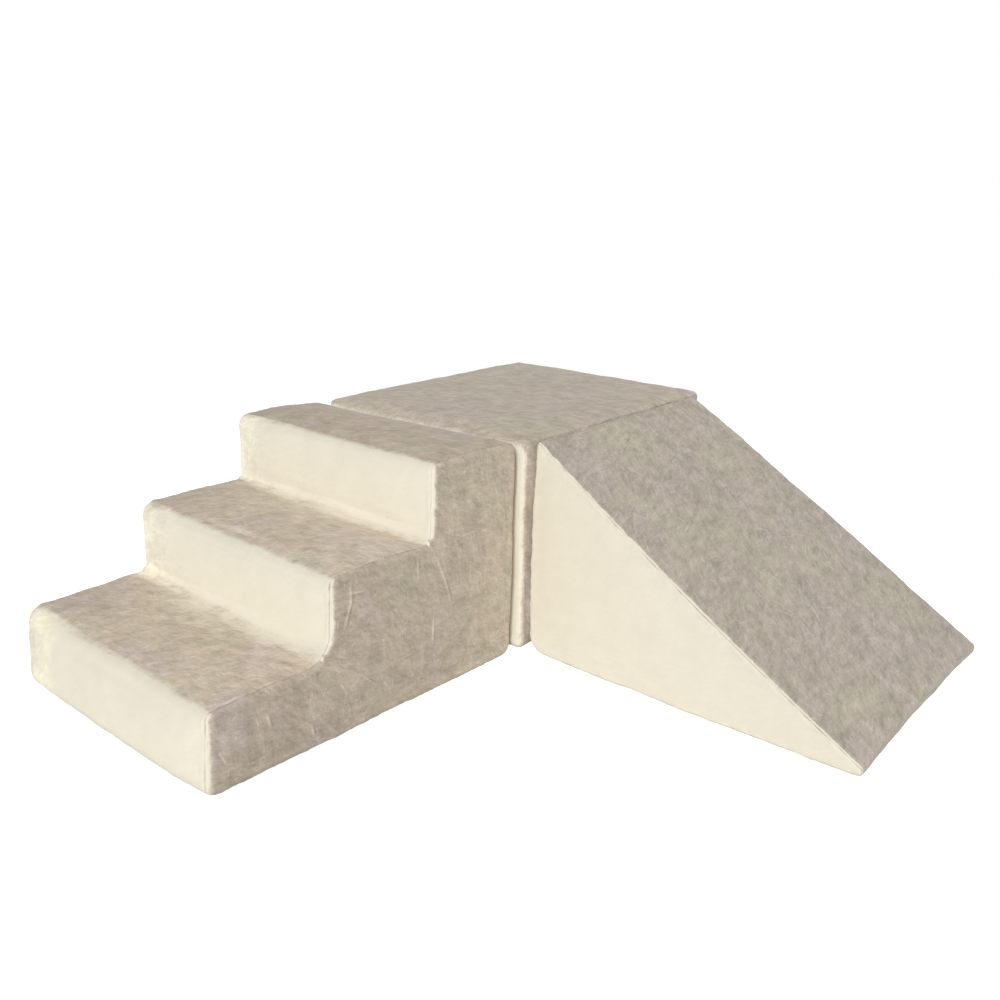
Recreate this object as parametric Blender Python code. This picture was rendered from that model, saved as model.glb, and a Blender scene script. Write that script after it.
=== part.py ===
"""Corner play set of three soft foam blocks: steps, platform and ramp, each in a zipped fabric cover."""

import math

import bmesh
import bpy
from mathutils import Vector

# Sizes that the three blocks share
block_width = 0.600
riser_height = 0.150
step_count = 3
block_height = step_count * riser_height

# Sizes of the single blocks
tread_depth = 0.233
steps_length = step_count * tread_depth
platform_length = 0.700
ramp_length = 0.700
ramp_toe_height = 0.018

# How the loose blocks stand against each other
steps_gap = 0.018
steps_side_inset = 0.005
ramp_gap = 0.014
ramp_setback = 0.026

# Rounding of the stuffed edges
nose_radius = 0.020
crease_radius = 0.022
base_radius = 0.026
side_radius = 0.016
toe_round_share = 0.98
edge_round_share = 0.90
arc_segments = 4
side_segments = 3
smooth_angle = math.radians(35)

# Cover cloth and how its panels meet
cloth = 0.002
touch_gap = 0.0003
seam_lap = 0.002
base_seam_lap = 0.004
cutter_margin = 0.05

# Zip in one hidden side of each cover
zip_height = 0.045
zip_end_margin = 0.110
ramp_zip_start = 0.165
chain_width = 0.0060
chain_thickness = 0.0016
tape_thickness = 0.0008
tape_lap = 0.005
tape_end = 0.008
window_height = 0.020
stop_length = 0.0030
slider_length = 0.0110
slider_wall = 0.0010
slider_side_play = 0.0003
crown_bar = 0.0014
crown_inside = 0.0048
crown_height = 0.0020
eye_play = 0.00012
eye_wall = 0.0006
eye_width = 0.0040
pull_length = 0.0260
pull_width = 0.0066
pull_thickness = 0.0012
pull_neck = 0.0028
pull_hole_length = 0.0100
pull_hole_width = 0.0030

# Heights over the outer face of a cover, worked out for the zip
tape_top = -(cloth + touch_gap)
tape_bottom = tape_top - tape_thickness
chain_bottom = tape_top + touch_gap
chain_top = chain_bottom + chain_thickness
slider_base = chain_top + touch_gap
slider_top = slider_base + slider_wall
pull_axis_height = slider_top + crown_height
bar_reach = crown_bar / math.sqrt(2)
eye_inner = bar_reach + eye_play
eye_outer = eye_inner + eye_wall
zip_proud = pull_axis_height + eye_outer

# Places of the blocks, from the outer box of the whole set
steps_low_x = -steps_side_inset
ramp_low_x = block_width + ramp_gap
set_low_x = min(steps_low_x, 0.0) - zip_proud
set_high_x = ramp_low_x + ramp_length
set_low_y = -steps_gap - steps_length
set_high_y = max(platform_length, ramp_setback + block_width + zip_proud)
shift = Vector((-(set_low_x + set_high_x) / 2, -(set_low_y + set_high_y) / 2, 0))


def clear_scene():
    for old in list(bpy.data.objects):
        bpy.data.objects.remove(old, do_unlink=True)


def make_material(name, colour, roughness, metallic=0.0):
    material = bpy.data.materials.new(name)
    material.use_nodes = True
    shader = material.node_tree.nodes["Principled BSDF"]
    shader.inputs["Base Color"].default_value = (*colour, 1)
    shader.inputs["Roughness"].default_value = roughness
    shader.inputs["Metallic"].default_value = metallic
    material.diffuse_color = (*colour, 1)
    return material


def add_object(name, bm, material=None, parent=None, place=(0, 0, 0)):
    bmesh.ops.recalc_face_normals(bm, faces=bm.faces)
    mesh = bpy.data.meshes.new(name)
    bm.to_mesh(mesh)
    bm.free()
    mesh.shade_smooth()
    mesh.set_sharp_from_angle(angle=smooth_angle)
    thing = bpy.data.objects.new(name, mesh)
    bpy.context.scene.collection.objects.link(thing)
    thing.parent = parent
    thing.location = place
    if material:
        mesh.materials.append(material)
    return thing


def add_empty(name, place, turn=0.0, parent=None):
    empty = bpy.data.objects.new(name, None)
    empty.empty_display_size = 0.05
    bpy.context.scene.collection.objects.link(empty)
    empty.parent = parent
    empty.location = place
    empty.rotation_euler = (0, 0, turn)
    return empty


def as_cutter(thing):
    thing.hide_render = True
    thing.display_type = "WIRE"
    return thing


def box_between(low, high):
    bm = bmesh.new()
    bmesh.ops.create_cube(bm, size=1)
    low, high = Vector(low), Vector(high)
    bmesh.ops.scale(bm, vec=high - low, verts=bm.verts)
    bmesh.ops.translate(bm, vec=(low + high) / 2, verts=bm.verts)
    return bm


def cut(thing, other, operation="DIFFERENCE"):
    step = thing.modifiers.new(operation.lower(), "BOOLEAN")
    step.operation = operation
    step.solver = "EXACT"
    step.object = other


def offset_corners(corners, inset):
    """Corners of an outline whose sides all move inwards by one distance."""
    moved = []
    for before, here, after in zip(corners[-1:] + corners[:-1], corners, corners[1:] + corners[:1]):
        way_in = (here - before).normalized()
        way_out = (after - here).normalized()
        normal_in = Vector((-way_in.y, way_in.x))
        normal_out = Vector((-way_out.y, way_out.x))
        moved.append(here + (normal_in + normal_out) * inset / (1 + normal_in.dot(normal_out)))
    return moved


def rounded_outline(corners, radii, inset=0.0):
    """Points of an outline run anticlockwise, with an arc at each corner."""
    points = []
    corners = offset_corners([Vector(c) for c in corners], inset)
    for before, here, after, radius in zip(
        corners[-1:] + corners[:-1], corners, corners[1:] + corners[:1], radii
    ):
        way_in = (here - before).normalized()
        way_out = (after - here).normalized()
        turn = way_in.angle_signed(way_out)
        bend = radius - inset if turn < 0 else radius + inset
        reach = bend * math.tan(abs(turn) / 2)
        start = here - way_in * reach
        side = Vector((-way_in.y, way_in.x)) * (1 if turn < 0 else -1)
        centre = start + side * bend
        arm = start - centre
        for k in range(arc_segments + 1):
            angle = -turn * k / arc_segments
            c, s = math.cos(angle), math.sin(angle)
            points.append(centre + Vector((c * arm.x - s * arm.y, s * arm.x + c * arm.y)))
    return points


def stuffed_prism(points, low_x, high_x, edge_radius):
    """Solid of an outline in Y and Z, drawn out along X, with its two rims rounded."""
    bm = bmesh.new()
    ring = [bm.verts.new((low_x, p.x, p.y)) for p in points]
    first = bm.faces.new(ring)
    drawn = bmesh.ops.extrude_face_region(bm, geom=[first])
    far = [v for v in drawn["geom"] if isinstance(v, bmesh.types.BMVert)]
    bmesh.ops.translate(bm, vec=(high_x - low_x, 0, 0), verts=far)
    rims = [e for e in bm.edges if abs(e.verts[0].co.x - e.verts[1].co.x) < 1e-7]
    bmesh.ops.bevel(
        bm,
        geom=rims,
        offset=edge_radius,
        offset_type="OFFSET",
        segments=side_segments,
        profile=0.5,
        affect="EDGES",
        material=-1,
        clamp_overlap=False,
    )
    return bm


def steps_corners():
    corners = [(0, 0)]
    radii = [base_radius]
    corners.append((steps_length, 0))
    radii.append(base_radius)
    corners.append((steps_length, block_height))
    radii.append(nose_radius)
    for k in range(step_count - 1, 0, -1):
        corners.append((k * tread_depth, (k + 1) * riser_height))
        radii.append(nose_radius)
        corners.append((k * tread_depth, k * riser_height))
        radii.append(crease_radius)
    corners.append((0, riser_height))
    radii.append(nose_radius)
    return corners, radii


def platform_corners():
    corners = [(0, 0), (platform_length, 0), (platform_length, block_height), (0, block_height)]
    radii = [base_radius, base_radius, nose_radius, nose_radius]
    return corners, radii


def ramp_corners():
    corners = [(0, 0), (ramp_length, 0), (ramp_length, block_height), (0, ramp_toe_height)]
    radii = [ramp_toe_radius(), base_radius, nose_radius, ramp_toe_radius()]
    return corners, radii


def ramp_toe_radius():
    """Largest rounding that both corners of the thin toe have room for."""
    slope = math.atan2(block_height - ramp_toe_height, ramp_length)
    room = ramp_toe_height / (1 + math.tan((math.pi / 2 - slope) / 2))
    return toe_round_share * room


def cover_block(name, corners, radii, length, zip_side, zip_start, frame):
    """Foam core, four cover panels and the zip of one block, in the block's own frame."""
    # An edge is no rounder than the tightest corner of the outline leaves room for
    edge_radius = min(side_radius, edge_round_share * min(radii))
    seam = edge_radius + seam_lap
    base_seam_low = radii[0] + base_seam_lap
    base_seam_high = length - radii[1] - base_seam_lap

    def shell_layer(inset):
        points = rounded_outline(corners, radii, inset)
        return stuffed_prism(points, inset, block_width - inset, edge_radius - inset)

    hollow = as_cutter(add_object(name + "_cover_hollow", shell_layer(cloth), None, frame))
    core_inset = cloth + touch_gap
    core = add_object(name + "_foam_core", shell_layer(core_inset), foam, frame)

    def cutter_box(part, low, high):
        return as_cutter(add_object(name + part, box_between(low, high), None, frame))

    far = block_width + cutter_margin
    tall = block_height + cutter_margin
    low_y, high_y = -cutter_margin, length + cutter_margin
    left_box = cutter_box("_left_cut", (-cutter_margin, low_y, -cutter_margin), (seam, high_y, tall))
    right_box = cutter_box(
        "_right_cut", (block_width - seam, low_y, -cutter_margin), (far, high_y, tall)
    )
    strip_low, strip_high = seam + touch_gap, block_width - seam - touch_gap
    strip_box = cutter_box(
        "_strip_cut", (strip_low, low_y, -cutter_margin), (strip_high, high_y, tall)
    )
    base_box = cutter_box(
        "_base_cut",
        (strip_low, base_seam_low, -cutter_margin),
        (strip_high, base_seam_high, cloth + touch_gap),
    )
    base_room = cutter_box(
        "_base_room",
        (-cutter_margin, base_seam_low - touch_gap, -cutter_margin),
        (far, base_seam_high + touch_gap, cloth + touch_gap),
    )

    zip_length = length - 2 * zip_end_margin
    face_x = 0 if zip_side < 0 else block_width
    zip_middle = zip_start + zip_length / 2
    turn = math.pi / 2 if zip_side > 0 else -math.pi / 2
    zip_frame = add_empty(name + "_zip_frame", (face_x, zip_middle, zip_height), turn, frame)
    window, pocket = zip_cutters(name, zip_length, zip_frame)

    def panel(part, keep, material, opening=None):
        piece = add_object(name + part, shell_layer(0), material, frame)
        if opening:
            cut(piece, opening)
        cut(piece, keep, "INTERSECT")
        cut(piece, hollow)
        return piece

    panel("_left_side_panel", left_box, velvet, window if zip_side < 0 else None)
    panel("_right_side_panel", right_box, velvet, window if zip_side > 0 else None)
    panel(top_names[name], strip_box, velvet, base_room)
    panel("_base_panel", base_box, grip_cloth)
    cut(core, pocket)
    make_zip(name, zip_length, zip_frame)


def zip_cutters(name, zip_length, frame):
    """Window in the side panel that shows the zip, and the room behind it in the foam."""
    half = zip_length / 2
    high = window_height / 2
    window = box_between((-half, -2 * cloth, -high), (half, 2 * cloth, high))
    back = half + tape_end + touch_gap
    lap = high + tape_lap + touch_gap
    depth = -tape_bottom + touch_gap
    pocket = box_between((-back, -cutter_margin, -lap), (back, depth, lap))
    window = as_cutter(add_object(name + "_zip_window", window, None, frame))
    pocket = as_cutter(add_object(name + "_zip_pocket", pocket, None, frame))
    return window, pocket


def zip_box(low_along, high_along, low_out, high_out, low_up, high_up):
    """Box in the zip's frame: X along the zip, minus Y out of the cover, Z up."""
    return box_between((low_along, -high_out, low_up), (high_along, -low_out, high_up))


def make_zip(name, zip_length, frame):
    half = zip_length / 2
    reach = window_height / 2 + tape_lap
    apart = touch_gap / 2
    end = half + tape_end
    chain_half = half - stop_length - 3 * touch_gap
    tape_ends = (-end, end, tape_bottom, tape_top)
    upper = zip_box(*tape_ends, apart, reach)
    lower = zip_box(*tape_ends, -reach, -apart)
    add_object(name + "_zip_upper_tape", upper, tape, frame)
    add_object(name + "_zip_lower_tape", lower, tape, frame)
    chain = zip_box(
        -chain_half, chain_half, chain_bottom, chain_top, -chain_width / 2, chain_width / 2
    )
    add_object(name + "_zip_chain", chain, nylon, frame)
    for part, way in (("_zip_closed_stop", -1), ("_zip_open_stop", 1)):
        near = way * (chain_half + touch_gap)
        far = way * (chain_half + touch_gap + stop_length)
        stop = zip_box(
            min(near, far), max(near, far), chain_bottom, chain_top, -chain_width / 2, chain_width / 2
        )
        add_object(name + part, stop, nickel, frame)
    slider_middle = -chain_half + touch_gap + slider_length / 2
    make_slider(name, slider_middle, frame)


def extruded_outline(points, low, high):
    """Solid of an outline in Y and Z, drawn out along X between two values."""
    bm = bmesh.new()
    ring = [bm.verts.new((low, y, z)) for y, z in points]
    face = bm.faces.new(ring)
    drawn = bmesh.ops.extrude_face_region(bm, geom=[face])
    far = [v for v in drawn["geom"] if isinstance(v, bmesh.types.BMVert)]
    bmesh.ops.translate(bm, vec=(high - low, 0, 0), verts=far)
    return bm


def make_slider(name, along, frame):
    """Slider body that straddles the chain, its crown, and the pull that hangs on the crown."""
    carrier = add_empty(name + "_slider_frame", (along, 0, 0), 0.0, frame)
    inside = chain_width / 2 + slider_side_play
    outside = inside + slider_wall
    channel = [
        (-chain_bottom, -outside),
        (-slider_top, -outside),
        (-slider_top, outside),
        (-chain_bottom, outside),
        (-chain_bottom, inside),
        (-slider_base, inside),
        (-slider_base, -inside),
        (-chain_bottom, -inside),
    ]
    half = slider_length / 2
    body = extruded_outline(channel, -half, half)
    slider = add_object(name + "_zip_slider", body, nickel, carrier)

    post_in = crown_inside / 2
    post_out = post_in + crown_bar
    bar_top = pull_axis_height + crown_bar / 2
    bar_base = pull_axis_height - crown_bar / 2
    foot = slider_top - slider_wall / 2
    arch = [
        (-foot, -post_out),
        (-bar_top, -post_out),
        (-bar_top, post_out),
        (-foot, post_out),
        (-foot, post_in),
        (-bar_base, post_in),
        (-bar_base, -post_in),
        (-foot, -post_in),
    ]
    crown = extruded_outline(arch, -crown_bar / 2, crown_bar / 2)
    cut(slider, as_cutter(add_object(name + "_crown", crown, None, carrier)), "UNION")
    make_pull(name, carrier)


def cylinder_along_z(radius, width, sides=16):
    bm = bmesh.new()
    bmesh.ops.create_cone(
        bm, cap_ends=True, segments=sides, radius1=radius, radius2=radius, depth=width
    )
    return bm


def make_pull(name, carrier):
    hinge = add_empty(name + "_pull_frame", (0, -pull_axis_height, 0), 0.0, carrier)
    thick = pull_thickness / 2
    wide = pull_width / 2
    plate = box_between((pull_neck, -thick, -wide), (pull_length, thick, wide))
    corners = [
        e for e in plate.edges if abs(e.verts[0].co.y - e.verts[1].co.y) > pull_thickness / 2
    ]
    bmesh.ops.bevel(
        plate,
        geom=corners,
        offset=pull_width / 4,
        segments=2,
        profile=0.5,
        affect="EDGES",
        material=-1,
    )
    pull = add_object(name + "_zip_pull", plate, nickel, hinge)
    neck_start = (eye_inner + eye_outer) / 2
    neck_end = pull_neck + pull_width / 4
    neck = box_between((neck_start, -thick, -eye_width / 2), (neck_end, thick, eye_width / 2))
    cut(pull, as_cutter(add_object(name + "_pull_neck", neck, None, hinge)), "UNION")
    ring = cylinder_along_z(eye_outer, eye_width)
    cut(pull, as_cutter(add_object(name + "_pull_ring", ring, None, hinge)), "UNION")
    bore = cylinder_along_z(eye_inner, 2 * eye_width)
    cut(pull, as_cutter(add_object(name + "_pull_bore", bore, None, hinge)))
    hole_end = pull_length - pull_width / 3
    slot = box_between(
        (hole_end - pull_hole_length, -pull_thickness, -pull_hole_width / 2),
        (hole_end, pull_thickness, pull_hole_width / 2),
    )
    cut(pull, as_cutter(add_object(name + "_pull_slot", slot, None, hinge)))


clear_scene()
velvet = make_material("velvet", (0.60, 0.55, 0.46), 0.85)
grip_cloth = make_material("grip cloth", (0.42, 0.39, 0.35), 0.95)
foam = make_material("foam", (0.90, 0.87, 0.74), 0.95)
tape = make_material("zip tape", (0.62, 0.57, 0.48), 0.90)
nylon = make_material("zip nylon", (0.66, 0.61, 0.52), 0.45)
nickel = make_material("nickel", (0.66, 0.64, 0.61), 0.30, 1.0)
top_names = {"steps": "_tread_strip", "platform": "_top_strip", "ramp": "_slope_strip"}

steps_frame = add_empty("steps_frame", shift + Vector((steps_low_x, -steps_gap - steps_length, 0)))
cover_block("steps", *steps_corners(), steps_length, -1, zip_end_margin, steps_frame)

platform_frame = add_empty("platform_frame", shift)
cover_block("platform", *platform_corners(), platform_length, -1, zip_end_margin, platform_frame)

# The ramp is drawn toe first along Y, then turned so that its toe points along X
ramp_frame = add_empty(
    "ramp_frame", shift + Vector((ramp_low_x + ramp_length, ramp_setback, 0)), math.pi / 2
)
cover_block("ramp", *ramp_corners(), ramp_length, 1, ramp_zip_start, ramp_frame)
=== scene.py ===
import math

import bmesh
import bpy
from mathutils import Matrix, Vector, kdtree, noise


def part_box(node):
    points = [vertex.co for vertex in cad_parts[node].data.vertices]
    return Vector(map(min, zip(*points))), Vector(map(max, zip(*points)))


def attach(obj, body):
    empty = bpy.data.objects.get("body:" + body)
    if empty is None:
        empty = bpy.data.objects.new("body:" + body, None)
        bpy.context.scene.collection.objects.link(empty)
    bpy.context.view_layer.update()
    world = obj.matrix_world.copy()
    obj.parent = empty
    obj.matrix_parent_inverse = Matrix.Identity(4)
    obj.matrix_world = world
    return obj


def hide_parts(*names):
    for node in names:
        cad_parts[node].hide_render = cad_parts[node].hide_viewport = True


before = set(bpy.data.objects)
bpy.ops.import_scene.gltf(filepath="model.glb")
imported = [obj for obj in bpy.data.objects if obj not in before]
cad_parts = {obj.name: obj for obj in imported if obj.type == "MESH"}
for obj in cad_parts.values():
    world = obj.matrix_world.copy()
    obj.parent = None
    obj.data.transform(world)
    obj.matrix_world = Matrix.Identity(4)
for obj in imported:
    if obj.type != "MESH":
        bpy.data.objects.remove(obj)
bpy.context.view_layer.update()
scene = bpy.context.scene
print("frame loaded")


# the camera, at the place that the corners of the blocks give
cameraPlace = {
    "place": (1.0500, -1.3444, 0.8803),
    "azimuth": 40.669,
    "elevation": 17.514,
    "roll": 0.980,
    "focalPixels": 920.3,
    "framePixels": 1000.0,
    "sensor": 36.0,
}


def towards(azimuth, elevation):
    # unit vector from the blocks to something seen at these angles
    azimuth, elevation = math.radians(azimuth), math.radians(elevation)
    across = math.cos(elevation)
    return Vector((math.sin(azimuth) * across, -math.cos(azimuth) * across, math.sin(elevation)))


def addCamera(c):
    back = towards(c["azimuth"], c["elevation"])
    right = Vector((0, 0, 1)).cross(back).normalized()
    up = back.cross(right)
    roll = math.radians(c["roll"])
    turned = right * math.cos(roll) + up * math.sin(roll)
    upright = up * math.cos(roll) - right * math.sin(roll)
    data = bpy.data.cameras.new("camera")
    data.sensor_width = c["sensor"]
    data.lens = c["focalPixels"] / c["framePixels"] * c["sensor"]
    camera = linked("camera", data)
    turn = Matrix((turned, upright, back)).transposed()
    camera.matrix_world = Matrix.Translation(c["place"]) @ turn.to_4x4()
    scene.camera = camera


# short ways to build materials: each gives back a socket that the next one can take
def plug(tree, value, socket):
    if isinstance(value, bpy.types.NodeSocket):
        tree.links.new(value, socket)
    elif value is not None:
        socket.default_value = value


def fillNode(tree, node, values):
    for name, value in values.items():
        plug(tree, value, node.inputs[name])
    return node


def addNode(tree, kind, values, **settings):
    node = tree.nodes.new(f"ShaderNode{kind}")
    for name, value in settings.items():
        setattr(node, name, value)
    return fillNode(tree, node, values)


def noiseAt(tree, vector, scale, detail=2.0, roughness=0.5, output="Fac"):
    values = {"Vector": vector, "Scale": scale, "Detail": detail, "Roughness": roughness}
    return addNode(tree, "TexNoise", values).outputs[output]


def cellsAt(tree, vector, scale, jitter=1.0, **settings):
    values = {"Vector": vector, "Scale": scale, "Randomness": jitter}
    return addNode(tree, "TexVoronoi", values, **settings).outputs["Distance"]


def calc(tree, kind, first, second=None, third=None):
    return addNode(tree, "Math", {0: first, 1: second, 2: third}, operation=kind).outputs[0]


def spread(tree, value, low, high, toLow=0.0, toHigh=1.0, smoothly=True):
    names = ("Value", "From Min", "From Max", "To Min", "To Max")
    values = dict(zip(names, (value, low, high, toLow, toHigh)))
    way = "SMOOTHSTEP" if smoothly else "LINEAR"
    return addNode(tree, "MapRange", values, interpolation_type=way).outputs[0]


def between(tree, share, first, second):
    # goes evenly from the first number to the second as the share goes from nought to one
    return spread(tree, share, 0.0, 1.0, first, second, False)


def blendOf(tree, share, first, second):
    node = tree.nodes.new("ShaderNodeMix")
    node.data_type = "RGBA"
    sockets = {s.identifier: s for s in node.inputs}
    plug(tree, share, sockets["Factor_Float"])
    for value, name in ((first, "A_Color"), (second, "B_Color")):
        plug(tree, (*value, 1) if isinstance(value, tuple) else value, sockets[name])
    return {s.identifier: s for s in node.outputs}["Result_Color"]


def brighter(tree, colour, factor):
    return addNode(tree, "VectorMath", {0: colour, "Scale": factor}, operation="SCALE").outputs[0]


def slide(tree, vector, place=(0, 0, 0), turn=0.0, scale=(1, 1, 1)):
    turned = (0, 0, math.radians(turn))
    values = {"Vector": vector, "Location": place, "Rotation": turned, "Scale": scale}
    return addNode(tree, "Mapping", values).outputs[0]


def painted(tree, name):
    return addNode(tree, "Attribute", {}, attribute_name=name).outputs["Fac"]


def clothPattern(tree):
    return addNode(tree, "UVMap", {}, uv_map="cloth").outputs[0]


def addBump(tree, shader, height, distance, strength=1.0):
    bump = addNode(tree, "Bump", {"Strength": strength, "Distance": distance, "Height": height})
    tree.links.new(bump.outputs[0], shader.inputs["Normal"])


def addObject(name, bm):
    # puts a made shape into the scene
    mesh = bpy.data.meshes.new(name)
    bm.to_mesh(mesh)
    bm.free()
    return linked(name, mesh)


def linked(name, data):
    obj = bpy.data.objects.new(name, data)
    scene.collection.objects.link(obj)
    return obj


def plainFinish(name, colour, roughness, metallic=0.0):
    # gives back the material with its node tree and its shader
    material = bpy.data.materials.new(name)
    material.use_nodes = True
    tree = material.node_tree
    values = {"Base Color": (*colour, 1), "Roughness": roughness, "Metallic": metallic}
    return material, tree, fillNode(tree, tree.nodes["Principled BSDF"], values)


# light, floor and backdrop; the floor's glow is what it casts and what the camera sees
studio = {
    "worldColour": (1.0, 1.0, 1.0),
    "worldStrength": 0.38,
    "keyAzimuth": 31.0,
    "keyElevation": 28.0,
    "keyAngle": 16.0,
    "keyStrength": 2.60,
    "floorColour": (0.55, 0.55, 0.55),
    "floorGlow": (0.06, 0.90),
    "floorRadius": 9.0,
    "floorFade": (1.5, 3.2),
}


def addStudio(s):
    scene.view_settings.view_transform = "Standard"
    world = bpy.data.worlds.new("studio")
    world.use_nodes = True
    scene.world = world
    tree = world.node_tree
    values = {"Color": (*s["worldColour"], 1), "Strength": s["worldStrength"]}
    soft = fillNode(tree, tree.nodes["Background"], values)
    paper = addNode(tree, "Background", {"Color": (1, 1, 1, 1)})
    seen = addNode(tree, "LightPath", {}).outputs["Is Camera Ray"]
    pick = addNode(tree, "MixShader", {0: seen, 1: soft.outputs[0], 2: paper.outputs[0]})
    tree.links.new(pick.outputs[0], tree.nodes["World Output"].inputs["Surface"])

    lamp = bpy.data.lights.new("key", "SUN")
    lamp.angle = math.radians(s["keyAngle"])
    lamp.energy = s["keyStrength"]
    key = linked("key", lamp)
    back = towards(s["keyAzimuth"], s["keyElevation"])
    key.matrix_world = back.to_track_quat("Z", "Y").to_matrix().to_4x4()

    bm = bmesh.new()
    bmesh.ops.create_circle(bm, cap_ends=True, segments=64, radius=s["floorRadius"])
    floor = addObject("floor", bm)
    floor.data.materials.append(floorFinish(s))


def floorFinish(s):
    # near white, and fading into the white backdrop so that no horizon shows
    material, tree, shader = plainFinish("pale floor", s["floorColour"], 1.0)
    seen = addNode(tree, "LightPath", {}).outputs["Is Camera Ray"]
    place = addNode(tree, "TexCoord", {}).outputs["Object"]
    far = addNode(tree, "VectorMath", {0: place}, operation="LENGTH").outputs["Value"]
    values = {
        "Specular IOR Level": 0.0,
        "Emission Color": (1, 1, 1, 1),
        "Emission Strength": spread(tree, seen, 0.0, 1.0, *s["floorGlow"]),
        "Alpha": spread(tree, far, *s["floorFade"], 1.0, 0.0),
    }
    fillNode(tree, shader, values)
    return material


# crushed velvet: pale on the faces towards the light side, partly for the pile's lay and partly as painted
# light, taupe elsewhere
# the three numbers of a noise are its scale, its detail and its roughness
velvet = {
    "cream": (0.80, 0.75, 0.62),
    "straw": (0.93, 0.88, 0.69),
    "warm": (0.560, 0.467, 0.360),
    "cool": (0.510, 0.450, 0.375),
    "lilac": (0.535, 0.455, 0.410),
    "olive": (0.535, 0.485, 0.375),
    # the pale of the cracks, and of the painted highlight along the folds
    "fold": (0.74, 0.69, 0.60),
    "roughness": 0.85,
    "specular": 0.15,
    "layRoom": (0.28, 0.66),
    "softRoom": (0.02, 0.92),
    "wander": (0.42, 1.3),
    "toneWander": 0.35,
    "warpReach": 0.026,
    "reliefWarp": 11.0,
    "reliefNoise": (52.0, 5.0, 0.56),
    "mottleWarp": 16.0,
    "mottleNoise": (30.0, 4.0, 0.6),
    "mottleDepth": 0.78,
    "driftWarp": 9.0,
    "driftReach": 0.06,
    "driftNoise": (6.5, 4.0, 0.6),
    "crackSizes": (12.0, 19.0, 27.0),
    "crackTurns": (20, 70, 120),
    "crackShift": 3.7,
    "crackSquash": 0.5,
    "crackPatch": 13.0,
    "crackRoom": (0.57, 0.66),
    "crackWidth": 0.0019,
    "crackHeight": 0.05,
    "crackPale": 0.44,
    "flankShadeReach": 0.0014,
    "flankShadeWay": (0.6, 0.8, 0.0),
    "flankShadeDepth": 1.45,
    "toneTint": 0.25,
    "tintReach": 0.16,
    "tintMost": 0.75,
    "strawRoom": (-0.06, 0.08),
    "brushedShow": 0.55,
    "creamShow": 0.10,
    "foldHighlight": 0.38,
    "seamDark": 0.22,
    "paintedShadeDepth": 0.13,
    "sheen": 0.25,
    "sheenRoughness": 0.4,
    "sheenTint": (1.0, 0.97, 0.90),
    "bump": 0.25,
    "bumpDistance": 0.0015,
}


def openGroup(name, outputs):
    # a node group that takes a place and gives numbers
    tree = bpy.data.node_groups.new(name, "ShaderNodeTree")
    tree.interface.new_socket("Vector", in_out="INPUT", socket_type="NodeSocketVector")
    for output in outputs:
        tree.interface.new_socket(output, in_out="OUTPUT", socket_type="NodeSocketFloat")
    start = tree.nodes.new("NodeGroupInput").outputs["Vector"]
    return tree, start, tree.nodes.new("NodeGroupOutput")


def useGroup(tree, group, vector):
    return addNode(tree, "Group", {"Vector": vector}, node_tree=group).outputs


def warpedPlace(tree, start, scale, reach):
    values = {0: noiseAt(tree, start, scale, output="Color"), 1: [reach] * 3, 2: start}
    return addNode(tree, "VectorMath", values, operation="MULTIPLY_ADD").outputs[0]


def crushedRelief():
    # how high crushed pile stands: soft lumps of all sizes, and short cracks running every way
    v = velvet
    tree, start, end = openGroup("crushed relief", ("Height", "Cracks"))
    warped = warpedPlace(tree, start, v["reliefWarp"], v["warpReach"])
    cracks = None
    for number, (size, turn) in enumerate(zip(v["crackSizes"], v["crackTurns"])):
        place = v["crackShift"] * number
        laid = slide(tree, warped, (place, place, 0), turn, (size, size * v["crackSquash"], 1))
        gap = cellsAt(tree, laid, 1.0, feature="DISTANCE_TO_EDGE", voronoi_dimensions="2D")
        line = spread(tree, gap, 0.0, v["crackWidth"] * size, 1.0, 0.0)
        room = noiseAt(tree, slide(tree, start, (-place, place, 0)), v["crackPatch"] + size)
        mark = calc(tree, "MULTIPLY", line, spread(tree, room, *v["crackRoom"]))
        cracks = mark if cracks is None else calc(tree, "MAXIMUM", cracks, mark)
    lumps = noiseAt(tree, warped, *v["reliefNoise"])
    plug(tree, calc(tree, "MULTIPLY_ADD", cracks, v["crackHeight"], lumps), end.inputs["Height"])
    plug(tree, cracks, end.inputs["Cracks"])
    return tree


def crushedPile():
    # marks of crushed pile: a random mottle, and painted light and shade that make one flank of each lump
    # pale and the other dark
    v = velvet
    relief = crushedRelief()
    tree, start, end = openGroup("crushed pile", ("Tone", "Cracks", "Drift", "Height"))
    shift = [v["flankShadeReach"] * part for part in v["flankShadeWay"]]
    here = useGroup(tree, relief, slide(tree, start, shift))
    there = useGroup(tree, relief, slide(tree, start, [-part for part in shift]))
    # painted light and shade: how far the relief rises along one way
    flankShade = calc(tree, "SUBTRACT", here["Height"], there["Height"])
    lumps = noiseAt(tree, warpedPlace(tree, start, v["mottleWarp"], v["warpReach"]), *v["mottleNoise"])
    lumps = calc(tree, "SUBTRACT", lumps, 0.5)
    tone = calc(tree, "MULTIPLY_ADD", lumps, v["mottleDepth"], calc(tree, "MULTIPLY", flankShade, v["flankShadeDepth"]))
    plug(tree, tone, end.inputs["Tone"])
    plug(tree, here["Cracks"], end.inputs["Cracks"])
    plug(tree, here["Height"], end.inputs["Height"])
    drift = noiseAt(tree, warpedPlace(tree, start, v["driftWarp"], v["driftReach"]), *v["driftNoise"])
    plug(tree, calc(tree, "SUBTRACT", drift, 0.5), end.inputs["Drift"])
    return tree


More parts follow.
